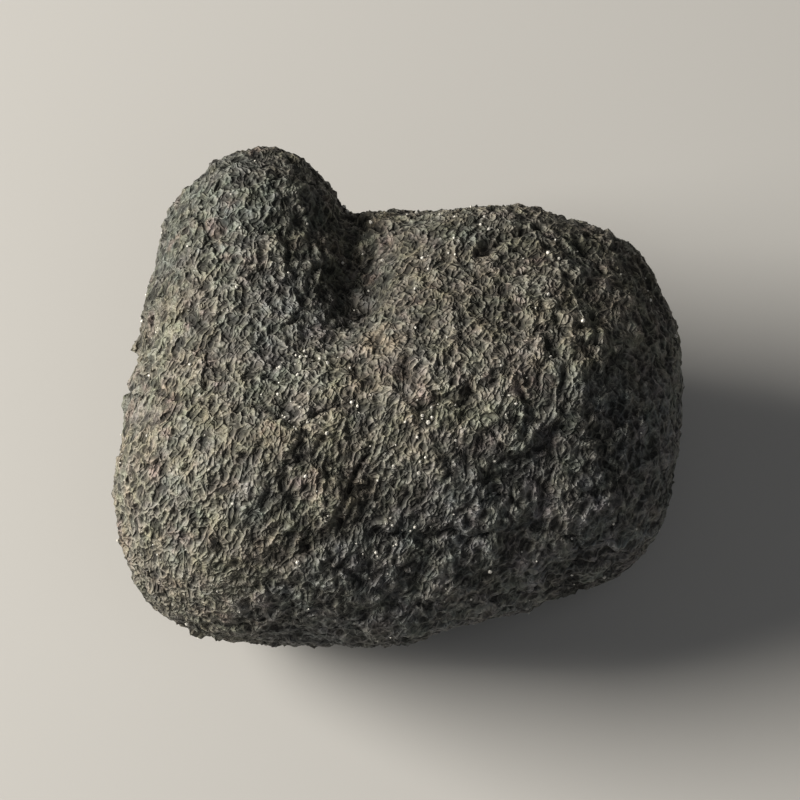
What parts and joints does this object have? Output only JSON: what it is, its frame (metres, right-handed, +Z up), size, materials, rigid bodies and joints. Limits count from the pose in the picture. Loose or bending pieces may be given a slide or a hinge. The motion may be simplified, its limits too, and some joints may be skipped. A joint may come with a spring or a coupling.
{
  "type": "black truffle",
  "caption": "Whole black truffle: a lobed, warty fruiting body with one lobe standing off like a thumb, resting on a small flat spot.",
  "frame": {"origin": "on the surface it rests on, under the middle of its outline seen from above", "axes": "+X to its right across its longest extent, +Y the way the thumb-like lobe points, +Z up"},
  "size_m": [0.0504, 0.0456, 0.03],
  "materials": {
    "skin": "matt charcoal black, warm grey on the crests of its warts and near black in the creases"
  },
  "bodies": {
    "root": {"truffle": "skin"}
  },
  "joints": []
}
